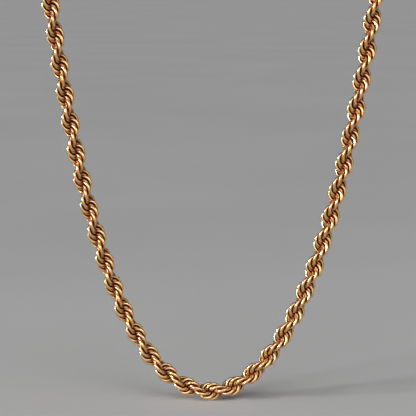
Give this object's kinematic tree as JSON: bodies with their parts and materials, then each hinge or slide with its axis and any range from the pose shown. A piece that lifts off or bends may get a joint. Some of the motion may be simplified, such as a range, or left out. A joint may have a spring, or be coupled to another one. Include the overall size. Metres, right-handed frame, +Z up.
{
  "type": "rope chain necklace",
  "caption": "Gold necklace of small round links joined into a twisted rope, hanging from the nape in a deep curve, closed by a plain barrel clasp.",
  "frame": {"origin": "the nape: the middle of the clasp, where the necklace hangs on the back of the neck", "axes": "+Z up, the front of the necklace faces -Y, and the clasp lies along X"},
  "size_m": [0.0973, 0.0901, 0.1393],
  "materials": {
    "gold_rope": "polished gold with dark crevices between the links",
    "gold_clasp": "polished gold, lightly worn"
  },
  "bodies": {
    "root": {"rope_left": "gold_rope", "rope_right": "gold_rope", "clasp": "gold_clasp"}
  },
  "joints": []
}
